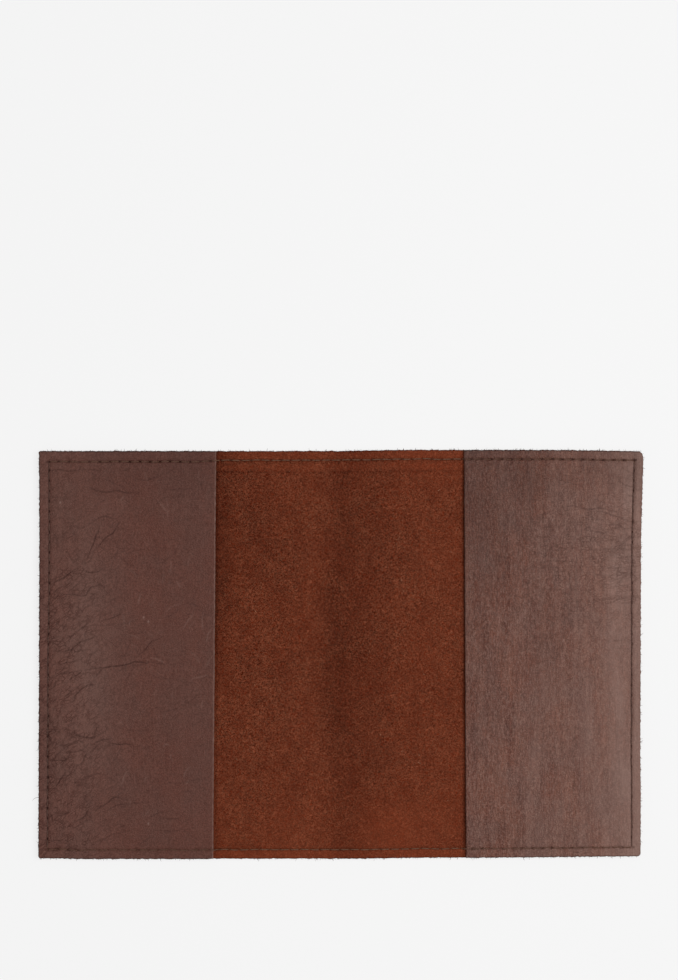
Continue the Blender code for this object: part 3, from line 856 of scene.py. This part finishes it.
def make_cover(side):
    sign = SIDES[side]
    low, high = sorted((0, sign * HALF_WIDTH))
    xs = lines(low, high, COVER_GRID, (sign * SEAM_X, sign * HALF_WIDTH))
    ys = lines(-HALF_HEIGHT, HALF_HEIGHT, COVER_GRID, ROWS_Y)
    cover = leather_sheet(
        f"{side}_cover", xs, ys,
        heights=lambda x, y: (cover_top(x, y), cover_bottom(x, y)),
        place=lambda x, y: warp(*rounded(x, y, sign)),
        raw=lambda x, y: smooth(abs(x) / 2),
        looks=(SUEDE, GRAIN, CUT_EDGE),
        values=cover_shade,
        under=outer_shade,
    )
    return bend_with_spine(cover)


def bend_with_spine(piece):
    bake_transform(piece)
    return piece


# The pocket flaps.


def flap_place(side, x, y):
    """The flap's outline: the cover's, with its own slightly slanting free edge."""
    sign = SIDES[side]
    free = smooth((HALF_WIDTH - x * sign) / (HALF_WIDTH - FLAP_EDGE))
    waver = 0.06 * noise(y / 11, 0, 101 + sign) + 0.035 * noise(y / 1.4, 0, 105 + sign)
    px, py = warp(*rounded(x, y, sign))
    return px + free * (FREE_EDGE_SHIFT[side] + (FREE_EDGE_TILT[side] - SHEAR) * y + waver), py


def front_values(x, y, creases):
    """Shade, paleness and wrinkles of the front flap: creased outwards, scuffed near its free edge."""
    free = -FLAP_EDGE - x
    near_seam = bell(x + SEAM_X, 4) * bell(y + 30, 14)
    # Painted shade in the creases, and darker places near the outer seam and along the top.
    shade = 0.66 * creases + 0.1 * near_seam + 0.13 * smooth((y - 48) / 12) * smooth((x + 92) / 12)
    # Painted highlight along the free edge, where the rounded shoulder catches the key light.
    painted_highlight = 0.65 + 0.5 * noise(y / 1.7, 0, 68)
    pale = painted_highlight * bell(free, SHOULDER * 0.8) + 0.12 * smooth((-62 - x) / 25) + 0.75 * front_scuffs(x, y)
    pale += 0.22 * bell(x + 84, 9) * bell(y + 5, 36)
    wrinkle = 0.6 * smooth((-66 - x) / 26) * (0.5 + 0.5 * smooth((40 - y) / 20)) + 0.1
    return shade, pale, wrinkle


def back_values(x, y, creases):
    """Shade, paleness and wrinkles of the back flap: paler outwards, in bands that lean a little."""
    lean = 0.13 * np.clip(-y, 0, HALF_HEIGHT)
    bands = 0.8 * bell(x - 65, 3.4) * smooth((-4 - y) / 16) + 0.5 * bell(x - 79.5 - lean, 2.4)
    bands += 1.3 * bell(x - 90 - lean, 2.8)
    bands = bands * (0.6 + 0.8 * noise(x / 7, y / 16, 69)) * smooth((22 - y) / 30)
    # Painted highlights beside the outer seam and along the right margin, where the key light falls.
    seam_highlight = smooth((x - 93.3) / 0.8) * smooth((97.2 - x) / 0.8) * bell(y - 54, 9)
    margin = bell(x - 98.8, 1.1) + 1.2 * seam_highlight + 0.8 * bell(x - 91.5, 3.2) * bell(y - 25, 11)
    # Painted shade in the creases; darker places towards the top and the free edge.
    shade = 0.62 * creases + 0.2 * bell(x - 63.5, 4) * bell(y - 54, 9)
    shade += 0.26 * smooth((y - 8) / 42) * smooth((72 - x) / 22)
    shade += 0.18 * smooth((y - 50) / 9) * smooth((x - 50) / 10)
    shade += 0.12 * bell(x - 68, 7) * bell(y - 4, 22)
    shade += 0.09 * smooth((58 - x) / 10) * smooth((y + 45) / 30)
    # Painted sheen growing towards the key light, paler bands, and the margin's painted highlights.
    pale = 0.35 * smooth((x - 45) / 60) + 0.36 * bands + 0.48 * margin + 0.04
    # More painted sheen near the outer seam.
    pale += 0.22 * smooth((x - 85) / 7) + 0.16 * bell(x - 88, 14) * bell(y - 36, 16)
    pale += 0.1 * noise(x / 2.2, y / 24, 66) + 0.08 * noise(x / 5, y / 30, 67)
    wrinkle = 0.45 * smooth((x - 48) / 30) * bell(y - 32, 28) + 0.12
    return shade, pale, wrinkle


def flap_values(side, x, y, creases):
    """Where a flap is darker, paler or wrinkled."""
    upright = smooth((SEAM_Y - abs(y)) / 0.5)
    # Painted shade in the seam's groove and stitch holes, fainter along the bottom row.
    seam = 0.85 * hole_closeness(x, y) + (0.2 + 0.4 * upright) * bell(seam_distance(x, y), 0.24)
    seam = seam * (1 - 0.6 * smooth((-y - SEAM_Y + 2) / 2))
    # Painted shade along the rounded outer edges, less on the back flap's right edge, where the key light
    # falls.
    edge = 0.75 * bell(edge_distance(x, y), 0.3)
    if side == "front":
        shade, pale, wrinkle = front_values(x, y, creases)
    else:
        shade, pale, wrinkle = back_values(x, y, creases)
        lit = smooth((x - HALF_WIDTH + 2) / 2) * smooth((HALF_HEIGHT - abs(y)) / 2)
        edge = edge * (1 - 0.8 * lit)
        # Deeper painted shade in the seam along the back flap's top right.
        seam = seam * (1 + 0.35 * bell(x - 77, 14) * (y > 0))
    for speck_x, speck_y in SPECKS:
        pale = pale + 1.5 * bell(x - speck_x, 0.2) * bell(y - speck_y, 0.34)
    return surface_values(shade + seam + edge, pale, wrinkle)


def make_flap(side):
    columns = sorted(SIDES[side] * x for x in (FLAP_EDGE, SEAM_X, HALF_WIDTH))
    xs = lines(columns[0], columns[-1], FLAP_GRID, columns, 0.14, 0.9)
    ys = lines(-HALF_HEIGHT, HALF_HEIGHT, FLAP_GRID, ROWS_Y)
    x, y = grid(xs, ys)
    creases = front_creases(x, y) if side == "front" else back_creases(x, y)
    bottom = COVER_TOP + LAYER_GAP + flap_lift(side, xs, ys)
    top = bottom + FLAP_THICKNESS + flap_relief(side, x, y, creases)
    flap = leather_sheet(
        f"{side}_flap", xs, ys,
        heights=lambda x, y: (top, bottom),
        place=lambda x, y: flap_place(side, x, y),
        raw=lambda x, y: np.ones_like(x),
        looks=(FRONT_LEATHER if side == "front" else BACK_LEATHER, SUEDE, CUT_EDGE),
        values=lambda x, y: flap_values(side, x, y, creases),
        under=lambda x, y: flap_values(side, x, y, 0 * creases),
    )
    open_with_pocket(flap)
    return flap


def open_with_pocket(flap):
    """Bakes the flap's placement into its mesh; the places of its points are read but not used."""
    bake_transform(flap)
    rest = places(flap.data)


# The seam: a twisted thread on each face, which dips into the stitch holes.


def seam_stops(side):
    """Stitch holes of one half in order, from the middle of the spine round to it again."""
    sign = SIDES[side]
    across = round(SEAM_X / PITCH_X)
    top = [(sign * i * PITCH_X, SEAM_Y) for i in range(across + 1)]
    outer = [(sign * SEAM_X, SEAM_Y - j * PITCH_Y) for j in range(1, STITCHES_UP)]
    bottom = [(sign * i * PITCH_X, -SEAM_Y) for i in range(across, -1, -1)]
    return top + outer + bottom


THREAD_STEPS = 20
THREAD_SIDES = 10
PLIES = 3
PLY_BULGE = 0.16


def thread_points(side, inner):
    """Points along the thread's middle, which sinks into each hole."""
    stops = np.array(seam_stops(side))
    steps = np.arange(THREAD_STEPS) / THREAD_STEPS
    between = stops[:-1, None] + np.diff(stops, axis=0)[:, None] * steps[:, None]
    x, y = np.concatenate([between.reshape(-1, 2), stops[-1:]]).T
    t = np.append(np.tile(steps, len(stops) - 1), 0)
    from_hole = np.minimum(t, 1 - t) * PITCH_X
    sunk = 1 - smooth(from_hole / 0.75)
    if inner:
        over = smooth((abs(x) - FLAP_EDGE + 0.45) / 0.5)
        on_flap = COVER_TOP + LAYER_GAP + FLAP_THICKNESS - 0.24
        buried = 0.07 * noise(x / 2.9, 0, 113)
        on_suede = COVER_TOP - 0.17 + spine_arch(x, y) + buried
        z = on_suede * (1 - over) + (on_flap - 0.05) * over + 0.12 - 0.85 * sunk
    else:
        z = 0.08 + 0.9 * spine_arch(x, y) + 0.55 * sunk
    wobble = 0.1 * noise(np.arange(len(x)) / 23, 0, 111)
    on_row = abs(y) >= SEAM_Y - 0.01
    return np.stack([*warp(x + ~on_row * wobble, y + on_row * wobble), z], -1)


def twisted_tube(name, centre, look):
    """A cord of twisted plies along the points, with closed ends."""
    along = np.append(0, np.cumsum(np.linalg.norm(np.diff(centre, axis=0), axis=1)))
    twist = 2 * math.pi * along[:, None] / PLY_LENGTH / PLIES
    ply = np.cos(PLIES * (around(THREAD_SIDES)[None, :] - twist))
    points = tube_points(centre, THREAD_RADIUS * (1 + PLY_BULGE * ply), THREAD_SIDES, (0, 0, 1))
    made = new_object(name, points, tube_faces(len(centre), THREAD_SIDES, 0), (look,))
    in_row = abs(centre[:, 1]) > SEAM_Y - 1
    # Painted highlight on the thread: full on the suede, half along the flaps' top and bottom rows.
    pale = np.where(abs(centre[:, 0]) < FLAP_EDGE - 0.2, 1, 0.5 * in_row)
    add_value(made, "pale", np.repeat(pale, THREAD_SIDES))
    return made


def unit(vectors):
    return vectors / np.linalg.norm(vectors, axis=-1, keepdims=True)


def around(sides):
    return np.arange(sides) / sides * 2 * math.pi


def tube_points(centre, radius, sides, upward):
    """Rings of points round a line, with a radius for each ring and point."""
    ahead = unit(np.gradient(centre, axis=0))
    side = unit(np.cross(ahead, upward))
    up = np.cross(side, ahead)
    turn = around(sides)[:, None]
    ring = side[:, None] * np.cos(turn) + up[:, None] * np.sin(turn)
    return (centre[:, None] + ring * radius[:, :, None]).reshape(-1, 3)


def tube_faces(rings, sides, first):
    """Faces of a closed tube whose vertices are numbered ring by ring from first."""
    index = first + np.arange(rings * sides).reshape(rings, sides)
    a, b = index[:-1], index[1:]
    skin = np.stack([a, np.roll(a, -1, 1), np.roll(b, -1, 1), b], -1).reshape(-1, 4)
    return skin.tolist() + [index[0][::-1].tolist(), index[-1].tolist()]


def make_threads(side):
    for kind, inner in (("needle", True), ("bobbin", False)):
        thread = twisted_tube(f"{side}_{kind}_stitches", thread_points(side, inner), THREAD)
        bend_with_spine(thread)
        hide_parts(f"{side}_{kind}_thread")
        if side == "back":
            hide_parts(f"spine_top_{kind}_thread", f"spine_bottom_{kind}_thread")


# Loose fibres: fuzz along the raw-cut edges, and lint on the suede.

HAIR_RINGS = 5
HAIR_SIDES = 3
HAIR_UPWARD = (0.31, 0.17, 0.93)  # a direction that no hair runs along
FUZZ_PER_MM = 2.2
LINT_COUNT = 22  # on each half


def hair_points(root, middle, tip, radius):
    """Rings of points along a curved hair that thins towards its tip."""
    t = np.linspace(0, 1, HAIR_RINGS)[:, None]
    centre = (1 - t) ** 2 * root + 2 * t * (1 - t) * middle + t * t * tip
    return tube_points(centre, radius * (1 - 0.7 * t), HAIR_SIDES, HAIR_UPWARD)


def edge_hair(rng, sign):
    """A hair growing out of the outline of one half, at a random place on its three outer edges."""
    at = rng.uniform(0, 2 * HALF_WIDTH + 2 * HALF_HEIGHT)
    if at < 2 * HALF_HEIGHT:
        place, out = np.array([sign * HALF_WIDTH, at - HALF_HEIGHT]), np.array([sign, 0.0])
    else:
        end = 1 if at < 2 * HALF_HEIGHT + HALF_WIDTH else -1
        along = (at - 2 * HALF_HEIGHT) % HALF_WIDTH
        place, out = np.array([sign * along, end * HALF_HEIGHT]), np.array([0.0, end])
    x, y = warp(*rounded(place[:1], place[1:], sign))
    most_z = COVER_TOP + (LAYER_GAP + FLAP_THICKNESS) * (abs(place[0]) > FLAP_EDGE)
    z = rng.uniform(0.25, most_z - 0.15) + spine_arch(x[0], y[0])
    root = np.array([x[0] - 0.12 * out[0], y[0] - 0.12 * out[1], z])
    length = 0.2 + min(rng.exponential(0.2), 0.9)
    lean = rng.normal(0, 0.35)
    ahead = np.array([out[0] - lean * out[1], out[1] + lean * out[0], rng.normal(0, 0.25)])
    across = np.array([-out[1], out[0], 0.0])
    return curled(root, ahead * length, across * rng.normal(0, 0.25) * length, rng.uniform(0.05, 0.11))


def curled(root, reach, curl, radius):
    return root, root + reach * 0.5 + curl, root + reach, radius


def lint_hair(rng, sign):
    """A pale hair lying on the suede."""
    x, y = np.array([sign * rng.uniform(9, 40)]), np.array([rng.uniform(-62, 62)])
    turn, length = rng.uniform(0, 2 * math.pi), rng.uniform(0.3, 1.3)
    root = np.array([x[0], y[0], cover_top(x, y)[0] + 0.05])
    ahead = np.array([math.cos(turn), math.sin(turn), 0.0])
    across = np.array([-ahead[1], ahead[0], 0.0])
    return curled(root, ahead * length, across * rng.normal(0, 0.2) * length, rng.uniform(0.04, 0.09))


def make_fibres(side):
    sign = SIDES[side]
    rng = np.random.default_rng(31 + sign)
    fuzz_count = round(FUZZ_PER_MM * 2 * (HALF_WIDTH + HALF_HEIGHT))
    hairs = [edge_hair(rng, sign) for _ in range(fuzz_count)]
    if side == "front":
        root = np.array([-HALF_WIDTH, -47.6, 1.0])
        hairs.append((root, root + (-1.6, 0.2, 0.1), root + (-2.4, -1, 0.3), 0.09))
    dark_count = len(hairs)
    hairs += [lint_hair(rng, sign) for _ in range(LINT_COUNT)]
    faces = []
    for number in range(len(hairs)):
        faces += tube_faces(HAIR_RINGS, HAIR_SIDES, number * HAIR_RINGS * HAIR_SIDES)
    points = np.concatenate([hair_points(*hair) for hair in hairs])
    hair_faces = len(faces) // len(hairs)
    look = np.repeat([0, 1], [dark_count * hair_faces, (len(hairs) - dark_count) * hair_faces])
    return bend_with_spine(new_object(f"{side}_fibres", points, faces, (EDGE_FIBRE, LINT), look))


FLOOR_REACH = 30  # metres, far beyond what the camera sees
FLOOR_DROP = 0.0003
FLOOR_GREY = 0.15
FLOOR_GLOW = 0.774  # brings the ground to the photo's even pale tone
WORLD_LIGHT = 0.35
KEY_PLACE, KEY_TARGET = Vector((0.42, 0.1, 0.95)), Vector((0.03, 0, 0))
KEY_SIZE = (0.55, 0.8)
KEY_POWER = 8


def make_stage():
    """A plain pale floor."""
    mesh = bpy.data.meshes.new("floor")
    corners = [(x * FLOOR_REACH, y * FLOOR_REACH, 0) for x, y in ((-1, -1), (1, -1), (1, 1), (-1, 1))]
    mesh.from_pydata(corners, [], [(0, 1, 2, 3)])
    floor = placed("floor", mesh)
    floor.location.z = -FLOOR_DROP
    grey, white = (FLOOR_GREY, FLOOR_GREY, FLOOR_GREY, 1), (1, 1, 1, 1)
    glow = {"Emission Color": white, "Emission Strength": FLOOR_GLOW}
    floor.data.materials.append(Material("floor").finish(grey, 0.9, 0, **glow))


def make_lights():
    """One broad soft light from the right and above, in an evenly lit white room."""
    data = bpy.data.lights.new("key", "AREA")
    data.shape = "RECTANGLE"
    data.size, data.size_y = KEY_SIZE
    data.energy = KEY_POWER
    light = placed("key", data)
    light.location = KEY_PLACE
    light.rotation_euler = (KEY_TARGET - KEY_PLACE).to_track_quat("-Z", "Y").to_euler()
    world = bpy.data.worlds.new("studio")
    world.use_nodes = True
    background = world.node_tree.nodes["Background"]
    background.inputs["Color"].default_value = (1, 1, 1, 1)
    background.inputs["Strength"].default_value = WORLD_LIGHT
    bpy.context.scene.world = world


CAMERA_LENS = 100
FRAME_HEIGHT = 326
OBJECT_OFFSET = (-0.45, 54.7)  # from the object's middle to the picture's middle


def make_camera():
    data = bpy.data.cameras.new("camera")
    data.lens = CAMERA_LENS
    distance = FRAME_HEIGHT * CAMERA_LENS / data.sensor_width
    camera = placed("camera", data)
    camera.location = Vector((*OBJECT_OFFSET, distance + COVER_TOP)) * MM
    bpy.context.scene.camera = camera


for half in SIDES:
    cover = make_cover(half)
    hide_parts(f"{half}_cover_panel")
    if half == "back":
        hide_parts("spine_strip")
    flap = make_flap(half)
    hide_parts(f"{half}_pocket_sewn_margin", f"{half}_pocket_flap")
    make_threads(half)
    make_fibres(half)

make_stage()
make_lights()
make_camera()
bpy.context.scene.view_settings.view_transform = "Standard"
